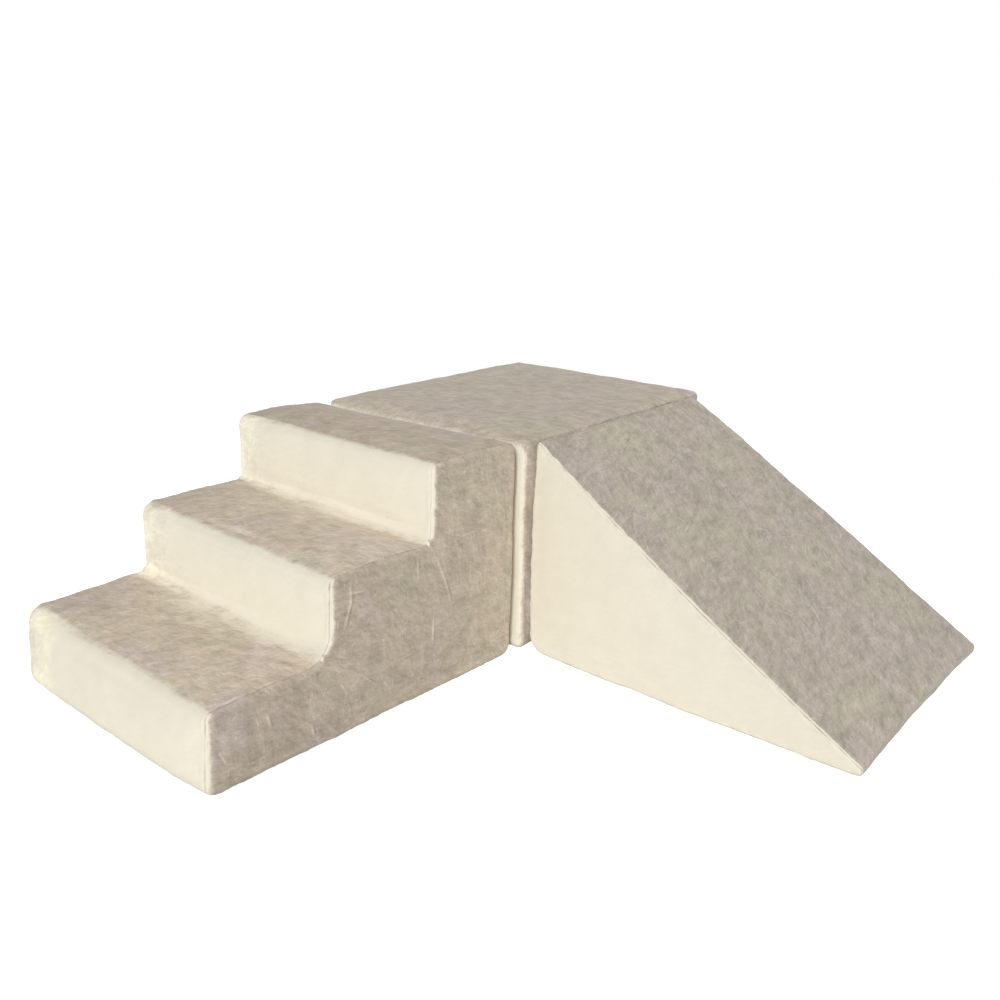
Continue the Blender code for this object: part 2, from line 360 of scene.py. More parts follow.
def velvetFinish(pile):
    v = velvet
    material, tree, shader = plainFinish("crushed velvet", v["warm"], v["roughness"])
    values = {
        "Specular IOR Level": v["specular"],
        "Sheen Weight": v["sheen"],
        "Sheen Roughness": v["sheenRoughness"],
        "Sheen Tint": (*v["sheenTint"], 1),
    }
    fillNode(tree, shader, values)
    marks = useGroup(tree, pile, clothPattern(tree))
    tone, cracks, drift, height = (marks[n] for n in ("Tone", "Cracks", "Drift", "Height"))
    names = ("lay", "softLay", "brushed", "seam", "fold", "depth", "cool", "dim")
    lay, softLay, brushed, seam, fold, depth, cool, dim = (painted(tree, name) for name in names)

    # how far the pile shows its pale side, partly for its lay and partly as painted light on the faces
    # towards the lamp; the change is sharp on noses and wanders in the creases
    wander = between(tree, softLay, *v["wander"])
    slow = calc(tree, "MULTIPLY_ADD", tone, v["toneWander"], drift)
    edge = calc(tree, "MULTIPLY_ADD", slow, wander, lay)
    ends = [between(tree, softLay, *room) for room in zip(v["layRoom"], v["softRoom"])]
    pale = spread(tree, edge, *ends)

    ground = blendOf(tree, cool, v["warm"], v["cool"])
    tinted = calc(tree, "MULTIPLY_ADD", tone, v["toneTint"], drift)
    for sign, tint in ((1, "lilac"), (-1, "olive")):
        share = spread(tree, tinted, 0.0, sign * v["tintReach"], 0.0, v["tintMost"])
        ground = blendOf(tree, share, ground, v[tint])
    ground = brighter(tree, ground, depth)

    showing = between(tree, pale, 1.0, v["creamShow"])
    showing = calc(tree, "MAXIMUM", showing, calc(tree, "MULTIPLY", brushed, v["brushedShow"]))
    patches = calc(tree, "MULTIPLY", brushed, spread(tree, drift, *v["strawRoom"]))
    colour = blendOf(tree, pale, ground, blendOf(tree, patches, v["cream"], v["straw"]))
    colour = brighter(tree, colour, calc(tree, "MULTIPLY_ADD", tone, showing, 1.0))
    faint = calc(tree, "MULTIPLY", cracks, calc(tree, "MULTIPLY", showing, v["crackPale"]))
    # painted highlight along the ridge of each fold
    faint = calc(tree, "MAXIMUM", faint, calc(tree, "MULTIPLY", fold, v["foldHighlight"]))
    colour = blendOf(tree, faint, colour, v["fold"])
    colour = brighter(tree, colour, between(tree, seam, 1.0, 1.0 - v["seamDark"]))
    # painted shade where the cloth faces up and towards the light
    colour = brighter(tree, colour, between(tree, dim, 1.0, 1.0 - v["paintedShadeDepth"]))
    plug(tree, colour, shader.inputs["Base Color"])
    addBump(tree, shader, calc(tree, "MULTIPLY", height, showing), v["bumpDistance"], v["bump"])
    return material


# the cloth under the blocks, the foam and the zips
# each: colour, roughness, metal, how much the marks show and how high they stand
hidden = {
    "grip": ((0.42, 0.39, 0.35), 0.95, 0.0, 0.40, 0.0006),
    "foam": ((0.90, 0.87, 0.74), 0.95, 0.0, 0.22, 0.0008),
    "tape": ((0.62, 0.57, 0.48), 0.90, 0.0, 0.25, 0.0003),
    "nylon": ((0.66, 0.61, 0.52), 0.45, 0.0, 0.35, 0.0006),
    "nickel": ((0.66, 0.64, 0.61), 0.30, 1.0, 0.12, 0.00005),
}
hiddenMarks = {
    "weavePitch": 0.002,
    "weaveShow": 0.5,
    "dotScale": 125.0,
    "dotEdge": (0.22, 0.34),
    "cellScale": 500.0,
    "cellEdge": (0.1, 0.6),
    "cellPatch": 60.0,
    "tapePitch": 0.0016,
    "toothPitch": 0.0020,
    "grainNoise": (700.0, 4.0, 0.6),
    "polish": 0.8,
}


def ribs(tree, place, way, pitch):
    # waves along one way, from nought to one and back in each pitch
    values = {0: place, 1: [part * 2 * math.pi / pitch for part in way]}
    along = addNode(tree, "VectorMath", values, operation="DOT_PRODUCT").outputs["Value"]
    return calc(tree, "MULTIPLY_ADD", calc(tree, "SINE", along), 0.5, 0.5)


def marksOf(kind):
    # the fine marks of a hidden material, from nought to one
    m = hiddenMarks
    tree, start, end = openGroup(f"{kind} marks", ("Mark",))
    if kind == "grip":
        across, along = (ribs(tree, start, way, m["weavePitch"]) for way in ((1, 0, 0), (0, 1, 0)))
        weave = calc(tree, "MULTIPLY", across, along)
        dots = cellsAt(tree, start, m["dotScale"], 0.0, voronoi_dimensions="2D")
        bead = spread(tree, dots, *m["dotEdge"], 1.0, 0.0)
        mark = calc(tree, "MAXIMUM", bead, calc(tree, "MULTIPLY", weave, m["weaveShow"]))
    elif kind == "foam":
        wall = spread(tree, cellsAt(tree, start, m["cellScale"]), *m["cellEdge"])
        mark = calc(tree, "MULTIPLY", wall, noiseAt(tree, start, m["cellPatch"]))
    elif kind == "tape":
        mark = ribs(tree, start, (1, 1, 1.2), m["tapePitch"])
    elif kind == "nylon":
        mark = ribs(tree, start, (1, 1, 0), m["toothPitch"])
    else:
        mark = noiseAt(tree, start, *m["grainNoise"])
    plug(tree, mark, end.inputs["Mark"])
    return tree


def hiddenFinish(kind):
    colour, roughness, metallic, depth, rise = hidden[kind]
    material, tree, shader = plainFinish(kind, colour, roughness, metallic)
    if kind == "grip":
        place = clothPattern(tree)
    else:
        place = addNode(tree, "TexCoord", {}).outputs["Object"]
    mark = useGroup(tree, marksOf(kind), place)["Mark"]
    bright = spread(tree, mark, 0.0, 1.0, 1.0 - depth, 1.0)
    plug(tree, brighter(tree, colour, bright), shader.inputs["Base Color"])
    polished = roughness * hiddenMarks["polish"]
    plug(tree, spread(tree, mark, 0.0, 1.0, roughness, polished), shader.inputs["Roughness"])
    addBump(tree, shader, mark, rise)
    return material


# the covers: how fine they are made and how the cloth lies; waves and ripples by depth and length
cover = {
    "pitch": 0.0052,
    "acrossPitch": 0.0072,
    "cutSlack": 0.0011,
    "panelSlack": 0.001,
    "arcSteps": 6,
    "seamRows": (0.0, 0.0007, 0.0015, 0.003, 0.0055, 0.009, 0.014),
    "leastRow": 0.0008,
    "coarseVoxel": 0.012,
    "clothThickness": 0.002,
    "startInset": 0.0015,
    "ease": 0.0025,
    "swellCap": 0.007,
    "swellPressure": 1.0,
    "swellFrames": 20,
    "swellCloth": {
        "quality": 5,
        "mass": 0.3,
        "tension_stiffness": 15,
        "compression_stiffness": 15,
        "bending_stiffness": 0.5,
    },
    "swellPoints": 6,
    "pinReach": 0.014,
    "seamDepth": 0.0013,
    "seamSpread": 0.0011,
    "seamGap": 0.00005,
    "seamLeast": 0.25,
    "seamPatch": 0.05,
    "seamPatchDepth": 1.6,
    "foldHeight": 0.0013,
    "foldSpread": 0.0024,
    "foldTrough": 0.35,
    "foldReach": 0.0085,
    "foldShade": 0.0017,
    "creaseSpan": 0.05,
    "bridgeFade": 0.03,
    "puckerDepth": 0.0020,
    "puckerReach": 0.012,
    "puckerPitch": 0.012,
    "puckerStretch": 0.05,
    "topBand": 0.02,
    "waves": (0.0036, 0.16),
    "ripples": (0.0012, 0.045),
    "floorKeep": 0.8,
    "foamInset": 0.0075,
}

# pulls: how far a corner of the block, given as right, back and top, is drawn out of true
# spills: how far the pale pile, partly painted light, runs out of a crease at the left, in the middle and at
# the right
stepsBlock = {
    "name": "steps",
    "body": "steps_block",
    "strip": "tread_strip",
    "stepCount": 3,
    "noseRadius": 0.017,
    "creaseRadius": 0.008,
    "baseRadius": 0.026,
    "edgeRadius": 0.0125,
    "seamTurn": 62.0,
    "baseSeamFront": 0.030,
    "baseSeamBack": 0.030,
    "zipSide": -1,
    "fillets": ((0.012, 0.034, 0.050), (0.010, 0.028, 0.022)),
    "spills": ((0.035, 0.095, 0.020), (0.015, 0.065, 0.012)),
    "pulls": {
        (0, 0, 0): (0.010, -0.025, 0.0),
        (1, 0, 0): (-0.011, -0.010, 0.007),
        (0, 0, 1): (0.004, 0.014, 0.012),
        (1, 0, 1): (0.0, 0.018, 0.003),
        (0, 1, 1): (0.0, 0.0, -0.007),
    },
    "noses": (0.027, 0.017, 0.017),
    "lifts": (0.010, 0.008),
    "liftReach": 0.09,
    "liftWidth": 0.28,
    "footBulge": 0.015,
    "footReach": 0.15,
    "treadCrown": 0.005,
    "treadCrownFrom": 0.1,
    "treadDepths": (1.12, 1.09, 0.95),
    "sideDepth": 0.94,
    "cool": 0.05,
    "sideCool": 0.35,
    "noseShade": 0.0,
    "folds": (
        ((0.6, 0.466, 0.3), (0.6, 0.495, 0.225), (0.6, 0.520, 0.140)),
        ((0.6, 0.273, 0.293), (0.6, 0.273, 0.245), (0.6, 0.256, 0.190)),
        ((0.6, 0.466, 0.165), (0.6, 0.463, 0.100)),
        ((0.6, 0.430, 0.285), (0.6, 0.428, 0.235)),
        ((0.6, 0.190, 0.055), (0.6, 0.200, 0.022)),
        ((0.6, 0.105, 0.105), (0.6, 0.112, 0.075)),
        ((0.6, 0.270, 0.120), (0.6, 0.300, 0.098), (0.6, 0.340, 0.057)),
        ((0.480, 0.466, 0.330), (0.505, 0.450, 0.305), (0.535, 0.422, 0.3)),
        ((0.508, 0.466, 0.325), (0.555, 0.430, 0.3)),
        ((0.575, 0.466, 0.325), (0.580, 0.440, 0.3)),
        ((0.565, 0.233, 0.190), (0.575, 0.212, 0.15)),
        ((0.520, 0.060, 0.15), (0.500, 0.095, 0.15)),
        ((0.150, 0.466, 0.330), (0.165, 0.440, 0.3)),
        ((0.200, 0.233, 0.185), (0.235, 0.195, 0.15)),
    ),
}

platformBlock = {
    "name": "platform",
    "body": "platform_block",
    "strip": "top_strip",
    "noseRadius": 0.017,
    "baseRadius": 0.014,
    "edgeRadius": 0.0160,
    "seamTurn": 25.0,
    "baseSeamFront": 0.030,
    "baseSeamBack": 0.030,
    "uprightPucker": 0.2,
    "uprightSeam": 0.12,
    "zipSide": -1,
    "pulls": {
        (0, 1, 1): (0.0, 0.0, 0.012),
        (1, 1, 1): (-0.008, 0.0, 0.006),
    },
    "treadDepths": (1.02,),
    "sideDepth": 1.0,
    "cool": 0.70,
    "sideCool": 0.50,
    "noseShade": 0.45,
    "folds": (
        ((0.430, 0.120, 0.45), (0.445, 0.190, 0.45)),
        ((0.180, 0.330, 0.45), (0.240, 0.350, 0.45)),
        ((0.340, 0.520, 0.45), (0.395, 0.500, 0.45)),
    ),
}

rampBlock = {
    "name": "ramp",
    "body": "ramp_block",
    "strip": "slope_strip",
    "toeHeight": 0.018,
    "noseRadius": 0.0075,
    "baseRadius": 0.036,
    "toeRadius": 0.0090,
    "edgeRadius": 0.0070,
    "seamTurn": 34.0,
    "sideCrown": 0.013,
    "crownLow": 0.35,
    "topCrown": 0.004,
    "backBulge": 0.008,
    "bulgeWidth": 0.15,
    "bulgeFrom": 0.8,
    "bulgeFade": 0.2,
    "baseSeamFront": 0.0153,
    "baseSeamBack": 0.040,
    "zipSide": 1,
    "pulls": {
        (0, 1, 0): (-0.010, -0.002, 0.0),
        (0, 0, 0): (0.0, 0.005, 0.0),
        (1, 0, 0): (0.022, 0.0, 0.0),
        (0, 1, 1): (0.0, 0.003, 0.017),
        (1, 1, 1): (0.0, 0.006, 0.025),
        (1, 0, 1): (0.0, 0.003, 0.018),
    },
    "treadDepths": (0.93,),
    "sideDepth": 0.95,
    "cool": 1.0,
    "sideCool": 0.50,
    "noseShade": 0.0,
    "folds": (
        ((0.236, 0.566), (0.262, 0.590), (0.310, 0.597)),
        ((0.370, 0.585), (0.390, 0.558)),
        ((0.330, 0.500), (0.290, 0.470), (0.262, 0.436)),
        ((0.425, 0.316), (0.385, 0.3), (0.352, 0.264)),
        ((0.505, 0.290), (0.478, 0.255)),
        ((0.410, 0.338), (0.445, 0.322)),
        ((0.160, 0.250), (0.190, 0.215)),
        ((0.300, 0.130), (0.345, 0.110)),
    ),
}

zipWindow = {
    "tapeLap": 0.005,
    "tapeEnd": 0.008,
    "calmDepth": 0.004,
    "calmFrom": 0.008,
    "calmTo": 0.058,
}


def boxOf(points):
    # the lowest and the highest values of some points
    return [Vector([end(p[i] for p in points) for i in range(3)]) for end in (min, max)]


def measureBlock(block):
    # the block's own axes: x across it, y along it from its low end, z up
    name = block["name"]
    low, high = boxOf([p for side in ("left", "right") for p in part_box(f"{name}_{side}_side_panel")])
    if name == "ramp":
        block["toWorld"] = Matrix.Translation((high.x, low.y, 0)) @ Matrix.Rotation(math.pi / 2, 4, "Z")
        block["width"], block["length"] = high.y - low.y, high.x - low.x
    else:
        block["toWorld"] = Matrix.Translation((low.x, low.y, 0))
        block["width"], block["length"] = high.x - low.x, high.y - low.y
    block["height"] = high.z
    block["corners"] = cornersOf(block)
    block["sides"] = [(Vector(a[:2]), Vector(b[:2])) for a, b in pairs(block["corners"])]
    block["zipRoom"] = zipRoom(block)
    block["seamAt"] = block["edgeRadius"] * math.radians(block["seamTurn"])
    block["foldLines"] = []
    for fold in block["folds"]:
        line = [Vector(place).to_3d() for place in fold]
        if name == "ramp":
            # the ramp's folds are given without a height, because they lie on its slope
            for place in line:
                place.z = block["toeHeight"] + (high.z - block["toeHeight"]) * place.y / block["length"]
        block["foldLines"].append((*boxOf(line), line))


def pairs(row):
    # each thing in a closed row with the next one
    return list(zip(row, row[1:] + row[:1]))


def cornersOf(block):
    # outline in y and z, anticlockwise, each corner with its rounding
    length, height = block["length"], block["height"]
    count = block.get("stepCount", 1)
    tread, riser = length / count, height / count
    low, top = ("toeRadius", "toeRadius") if "toeHeight" in block else ("baseRadius", "noseRadius")
    corners = [(0, 0, low), (length, 0, "baseRadius"), (length, height, "noseRadius")]
    for k in range(count - 1, 0, -1):
        corners.append((k * tread, (k + 1) * riser, "noseRadius"))
        corners.append((k * tread, k * riser, "creaseRadius"))
    corners.append((0, block.get("toeHeight", riser), top))
    block["creases"] = [(k * tread, k * riser) for k in range(1, count)]
    block["tops"] = [(k * tread, (k + 1) * riser) for k in range(count)] if "noses" in block else []
    return [(y, z, block[name]) for y, z, name in corners]


def zipRoom(block):
    # the opening in the side panel, in the block's own axes, from the tapes
    toLocal = block["toWorld"].inverted()
    points = [
        toLocal @ corner
        for tape in ("upper", "lower")
        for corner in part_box(f"{block['name']}_zip_{tape}_tape")
    ]
    low, high = boxOf(points)
    trim = Vector((0, zipWindow["tapeEnd"], zipWindow["tapeLap"]))
    return low + trim, high - trim, 0.0 if block["zipSide"] < 0 else block["width"]


def sideFace(block):
    # one flat side as a face with round corners, drawn in by the rounding of the rim, then cut into a grid
    bm = bmesh.new()
    corners = block["corners"]
    verts = [bm.verts.new((0, y, z)) for y, z, radius in corners]
    bm.faces.new(verts)
    for i, vert in enumerate(verts):
        before, here, after = corners[i - 1], corners[i], corners[(i + 1) % len(corners)]
        wayIn = Vector((here[0] - before[0], here[1] - before[1]))
        wayOut = Vector((after[0] - here[0], after[1] - here[1]))
        turn = abs(wayIn.angle_signed(wayOut))
        bmesh.ops.bevel(
            bm,
            geom=[vert],
            offset=here[2] * math.tan(turn / 2),
            segments=cover["arcSteps"],
            profile=0.5,
            affect="VERTICES",
            material=-1,
        )
    # kept on the points, so that the cuts below spread it evenly along each edge
    outward = bm.verts.layers.float_vector.new("outward")
    for v in bm.verts:
        v[outward] = outwardOf(v)
    for v in bm.verts:
        v.co -= v[outward] * block["edgeRadius"]
    length, height, radius = block["length"], block["height"], block["edgeRadius"]
    low, high = block["zipRoom"][:2]
    along = [low.y, high.y, block["baseSeamFront"], length - block["baseSeamBack"]]
    count = round(length / cover["pitch"])
    even = [length * i / count for i in range(1, count)]
    up = [low.z, high.z]
    if block["name"] == "ramp":
        rise = (height - block["toeHeight"]) / length
        drop = radius * math.hypot(1, rise) - block["toeHeight"]
        up += [rise * y - drop for y in even if rise * y > drop]
    else:
        levels = round(height / cover["pitch"])
        up += [height * i / levels for i in range(1, levels)]
    for axis, values in ((1, along + even), (2, up)):
        for value in values:
            place = Vector((0, 0, 0))
            place[axis] = 1
            bmesh.ops.bisect_plane(
                bm,
                geom=bm.verts[:] + bm.edges[:] + bm.faces[:],
                dist=cover["cutSlack"],
                plane_co=place * value,
                plane_no=place,
            )
    return bm


def outwardOf(vert):
    # out of the block in the plane of its side, at a point of the side's edge
    total = Vector()
    for edge in vert.link_edges:
        if edge.is_boundary:
            loop = edge.link_loops[0]
            way = loop.link_loop_next.vert.co - loop.vert.co
            total += Vector((0, way.z, -way.y)).normalized()
    return total.normalized()


def columnsOf(block):
    # where the cloth gets a column across the block, measured over the rim: close together at the seams
    quarter = block["edgeRadius"] * math.pi / 2
    full = 2 * quarter + block["width"] - 2 * block["edgeRadius"]
    seam = block["seamAt"]
    rows = cover["seamRows"]
    least = cover["leastRow"]
    near = sorted({seam - off for off in rows if seam - off > least} | {seam + off for off in rows})
    steps = math.ceil((full / 2 - near[-1]) / cover["acrossPitch"])
    near += [near[-1] + (full / 2 - near[-1]) * i / steps for i in range(1, steps + 1)]
    return near + [full - s for s in reversed(near[:-1])] + [full], full


def columnPlace(block, s, full):
    # place across the block and how far the outline is drawn in there
    radius = block["edgeRadius"]
    fromSide = min(s, full - s)
    turn = min(fromSide / radius, math.pi / 2)
    x = radius * (1 - math.cos(turn)) + max(fromSide - radius * math.pi / 2, 0)
    return x if s < full / 2 else block["width"] - x, radius * (1 - math.sin(turn))


def shapeOf(block):
    # both flat sides, and the outline drawn across from one to the other over the rounded rims
    bm = sideFace(block)
    outline = bm.verts.layers.float_vector.new("outline")
    outward = bm.verts.layers.float_vector["outward"]
    for v in bm.verts:
        v[outline] = v.co + v[outward] * block["edgeRadius"]
    edges = [e for e in bm.edges if e.is_boundary]
    other = bmesh.ops.duplicate(bm, geom=bm.verts[:] + bm.edges[:] + bm.faces[:])["geom"]
    otherVerts = [g for g in other if isinstance(g, bmesh.types.BMVert)]
    bmesh.ops.translate(bm, vec=(block["width"], 0, 0), verts=otherVerts)
    columns, full = columnsOf(block)
    for s in columns:
        x, inward = columnPlace(block, s, full)
        drawn = bmesh.ops.extrude_edge_only(bm, edges=edges)["geom"]
        fresh = {g for g in drawn if isinstance(g, bmesh.types.BMVert)}
        edges = [g for g in drawn if isinstance(g, bmesh.types.BMEdge) and fresh.issuperset(g.verts)]
        for v in fresh:
            v.co = v[outline] - v[outward] * inward
            v.co.x = x
    rims = [v for v in bm.verts if v.is_boundary]
    bmesh.ops.remove_doubles(bm, verts=rims, dist=1e-5)
    bmesh.ops.recalc_face_normals(bm, faces=bm.faces)
    return bm


def evaluated(obj):
    graph = bpy.context.evaluated_depsgraph_get()
    return bpy.data.meshes.new_from_object(obj.evaluated_get(graph))


def coarseShape(block):
    obj = addObject("blank", shapeOf(block))
    step = obj.modifiers.new("even quads", "REMESH")
    step.mode = "VOXEL"
    step.voxel_size = cover["coarseVoxel"]
    out = bmesh.new()
    out.from_mesh(evaluated(obj))
    bpy.data.objects.remove(obj, do_unlink=True)
    out.normal_update()
    return out


def nearestOn(start, end, point):
    # how far along a straight line it comes nearest to a point, as a share, and how far off that is
    way = end - start
    share = max(0.0, min(1.0, (point - start).dot(way) / way.length_squared))
    return share, (start + way * share - point).length


def outlineDepth(block, point):
    # distance from the outline's straight sides
    return min(nearestOn(here, after, point.yz)[1] for here, after in block["sides"])


def offSeam(block, point):
    # distance from the nearer seam over the rim: below nought on the side panels
    radius = block["edgeRadius"]
    inward = min(point.x, block["width"] - point.x)
    if inward >= radius:
        return radius * math.pi / 2 + inward - radius - block["seamAt"]
    depth = outlineDepth(block, point)
    if depth >= radius:
        return radius - depth - block["seamAt"]
    return radius * math.atan2(radius - depth, radius - inward) - block["seamAt"]


def swell(block):
    # a coarse copy of the block is blown up a little, held at its rims, and says how far each place moved
    bm = coarseShape(block)
    rest = [v.co.copy() for v in bm.verts]
    start = [v.co - v.normal * cover["startInset"] for v in bm.verts]
    ease = [v.normal * cover["ease"] for v in bm.verts]
    for vert, place in zip(bm.verts, start):
        vert.co = place
    obj = addObject("swell", bm)
    end = start
    group = obj.vertex_groups.new(name="rims")
    held = [i for i, place in enumerate(rest) if rimGap(block, place) < cover["pinReach"]]
    group.add(held, 1.0, "REPLACE")
    cloth = obj.modifiers.new("cloth", "CLOTH")
    for setting, value in cover["swellCloth"].items():
        setattr(cloth.settings, setting, value)
    cloth.settings.use_pressure = True
    cloth.settings.uniform_pressure_force = cover["swellPressure"]
    cloth.settings.effector_weights.gravity = 0
    cloth.settings.vertex_group_mass = "rims"
    cloth.point_cache.frame_end = cover["swellFrames"]
    for number in range(1, cover["swellFrames"] + 1):
        scene.frame_set(number)
    end = [v.co.copy() for v in evaluated(obj).vertices]
    scene.frame_set(1)
    bpy.data.objects.remove(obj, do_unlink=True)
    tree = kdtree.KDTree(len(rest))
    for i, place in enumerate(rest):
        tree.insert(place, i)
    tree.balance()
    cap = cover["swellCap"]
    moves = []
    for first, last, place, out in zip(start, end, rest, ease):
        step = last - first
        far = step.length
        if far > 1e-9:
            step = step * (cap * math.tanh(far / cap) / far)
        moves.append(first + step - place + out)
    print(block["name"], "swelled by up to %.1f mm" % (1000 * max(m.length for m in moves)))
    return tree, moves


def rimGap(block, point):
    inward = min(point.x, block["width"] - point.x)
    return math.hypot(max(inward, 0.0), outlineDepth(block, point))


def moveAt(tree, moves, point):
    total, weight = Vector(), 0.0
    for place, i, far in tree.find_n(point, cover["swellPoints"]):
        share = 1.0 / (far * far + 1e-6)
        total += moves[i] * share
        weight += share
    return total / weight


def smooth(t):
    t = max(0.0, min(1.0, t))
    return t * t * (3 - 2 * t)


def rising(value, start, reach):
    # from nought at the start to one a reach further on
    return smooth((value - start) / reach)


def acrossValue(values, share):
    # a value given at the left, in the middle and at the right of the block
    left, middle, right = values
    if share < 0.5:
        return left + (middle - left) * smooth(share / 0.5)
    return middle + (right - middle) * smooth((share - 0.5) / 0.5)


def bridgeCrease(point, corner, radius):
    # cloth spans an inner corner on an arc instead of going right into it
    ahead, above = corner[0] - point.y, point.z - corner[1]
    outAhead, outAbove = max(ahead, 0.0), max(above, 0.0)
    if outAhead >= radius or outAbove >= radius:
        return Vector()
    deep = math.hypot(ahead - outAhead, above - outAbove)
    fade = 1.0 - smooth(deep / (cover["bridgeFade"] + radius))
    fromCentre = Vector((outAhead - radius, outAbove - radius))
    far = fromCentre.length
    if far <= radius or fade == 0.0:
        return Vector()
    step = fromCentre * (radius / far - 1.0) * fade
    return Vector((0, -step.x, step.y))


def roundNose(point, corner, first, radius):
    # an outer corner made with one radius is drawn in to a larger one
    behind, below = point.y - corner[0], corner[1] - point.z
    if radius <= first or behind >= radius or below >= radius:
        return Vector()
    fromCentre = Vector((behind - radius, below - radius))
    far = fromCentre.length
    if far < 1e-6:
        return Vector()
    way = fromCentre / far
    edge = min(radius / max(-way.x, 1e-6), radius / max(-way.y, 1e-6))
    middle = Vector((first - radius, first - radius))
    toward = way.dot(middle)
    inside = toward * toward - middle.length_squared + first * first
    if inside > 0:
        edge = min(edge, toward + math.sqrt(inside))
    step = fromCentre * (radius / max(edge, radius) - 1.0)
    return Vector((0, step.x, -step.y))


def pullAt(block, point):
    # corners that are drawn out of true, and sides that bulge in the middle
    shares = (point.x / block["width"], point.y / block["length"], point.z / block["height"])
    shares = [max(0.0, min(1.0, s)) for s in shares]
    total = Vector()
    for corner, pull in block["pulls"].items():
        weight = 1.0
        for share, far in zip(shares, corner):
            weight *= share if far else 1 - share
        total += Vector(pull) * weight
    hump = 4 * shares[1] * (1 - shares[1])
    if "topCrown" in block:
        top = block["toeHeight"] + (block["height"] - block["toeHeight"]) * shares[1]
        level = min(point.z / top, 1.0)
        full = block["crownLow"] + (1 - block["crownLow"]) * level
        total.x += block["sideCrown"] * full * hump * (2 * shares[0] - 1)
        total.z += block["topCrown"] * hump * level
        nearEnd = rising(shares[1], block["bulgeFrom"], block["bulgeFade"])
        nearEnd = (1 - smooth(point.x / block["bulgeWidth"])) * nearEnd
        total.y += block["backBulge"] * nearEnd * 4 * shares[2] * (1 - shares[2])
    for corner, lift in zip(block["creases"], block.get("lifts", ())):
        off = ((point.y - corner[0]) ** 2 + (point.z - corner[1]) ** 2) / block["liftReach"] ** 2
        total.z += lift * math.exp(-off) * (1 - smooth(point.x / block["liftWidth"]))
    if "footBulge" in block:
        middle = 4 * shares[0] * (1 - shares[0])
        low = max(1 - point.z * block["stepCount"] / block["height"], 0)
        total.y -= block["footBulge"] * middle * low * (1 - smooth(point.y / block["footReach"]))
        onTread = 0.5 - 0.5 * math.cos(2 * math.pi * shares[1] * block["stepCount"])
        total.z += block["treadCrown"] * onTread * smooth(point.z / block["treadCrownFrom"])
    return total


def foldAt(block, point):
    # how far off the nearest fold is, and how full it is there: nought at its ends, one in its middle
    reach = cover["foldReach"]
    best, along = reach, 0.0
    for low, high, line in block["foldLines"]:
        if all(a - reach < p < b + reach for a, p, b in zip(low, point, high)):
            travelled, total = 0.0, sum((b - a).length for a, b in zip(line, line[1:]))
            for a, b in zip(line, line[1:]):
                share, far = nearestOn(a, b, point)
                if far < best:
                    best, along = far, (travelled + share * (b - a).length) / total
                travelled += (b - a).length
    return best, 1 - (2 * along - 1) ** 2


def besideCrease(point, corner):
    # nought in a crease and one well away from it
    return smooth(math.hypot(corner[0] - point.y, corner[1] - point.z) / cover["creaseSpan"])


def refineFolds(block, bm):
    # smaller faces beside the folds
    bm.verts.index_update()
    close = {v.index for v in bm.verts if foldAt(block, v.co)[0] < cover["foldReach"]}
    edges = [e for e in bm.edges if all(v.index in close for v in e.verts)]
    bmesh.ops.subdivide_edges(bm, edges=edges, cuts=2, use_grid_fill=True)
    bm.verts.index_update()
    bm.faces.index_update()


def zipCalm(block, point):
    # nothing moves at the zip, because the tapes lie where the frame has them
    low, high, x = block["zipRoom"]
    off = max(abs(point.x - x) - zipWindow["calmDepth"], 0.0)
    along = max(low.y - point.y, point.y - high.y, 0.0)
    up = max(low.z - point.z, point.z - high.z, 0.0)
    away = math.sqrt(off * off + along * along + up * up)
    return smooth((away - zipWindow["calmFrom"]) / (zipWindow["calmTo"] - zipWindow["calmFrom"]))


def clothMove(block, point, normal, tree, moves):
    c = cover
    seed = block["seed"]
    move = moveAt(tree, moves, point)
    for depth, length in (c["waves"], c["ripples"]):
        move += normal * depth * noise.noise(point / length + seed)
    off = offSeam(block, point)
    even = Vector((point.x / c["puckerStretch"], point.y, point.z))
    pucker = noise.noise(even / c["puckerPitch"] + seed)
    for corner in block["creases"]:
        pucker *= besideCrease(point, corner)
    if onUpright(block, point):
        pucker *= block["uprightPucker"]
    move += normal * c["puckerDepth"] * pucker * math.exp(-abs(off) / c["puckerReach"])
    move -= normal * c["seamDepth"] * seamShow(block, point) * math.exp(-((off / c["seamSpread"]) ** 2))
    far, full = foldAt(block, point)
    off = far / c["foldSpread"]
    ridge = math.exp(-(off**2)) - c["foldTrough"] * math.exp(-((off - 2) ** 2))
    move += normal * c["foldHeight"] * ridge * full
    share = point.x / block["width"]
    for corner, fillets in zip(block["creases"], block.get("fillets", ())):
        # beside an inner corner everything moves out along the same slant, so the cloth never crosses itself
        slip = Vector((0, -1, -1)).normalized()
        near = 1 - besideCrease(point, corner)
        move -= slip * (move.dot(slip) * near)
        move += bridgeCrease(point, corner, acrossValue(fillets, share))
    for corner in block["tops"]:
        move += roundNose(point, corner, block["noseRadius"], acrossValue(block["noses"], share))
    move = (move + pullAt(block, point)) * zipCalm(block, point)
    move.z = max(move.z, -c["floorKeep"] * point.z)
    return move


def onUpright(block, point):
    # below the platform's top edge, where its cloth lies calmer at the seams
    return "uprightSeam" in block and point.z < block["height"] - cover["topBand"]


def seamShow(block, point):
    # seams sink in here and are hidden by the pile there
    c = cover
    patch = 0.5 + c["seamPatchDepth"] * noise.noise(point / c["seamPatch"] - block["seed"])
    show = c["seamLeast"] + (1 - c["seamLeast"]) * smooth(patch)
    return show * (block["uprightSeam"] if onUpright(block, point) else 1.0)


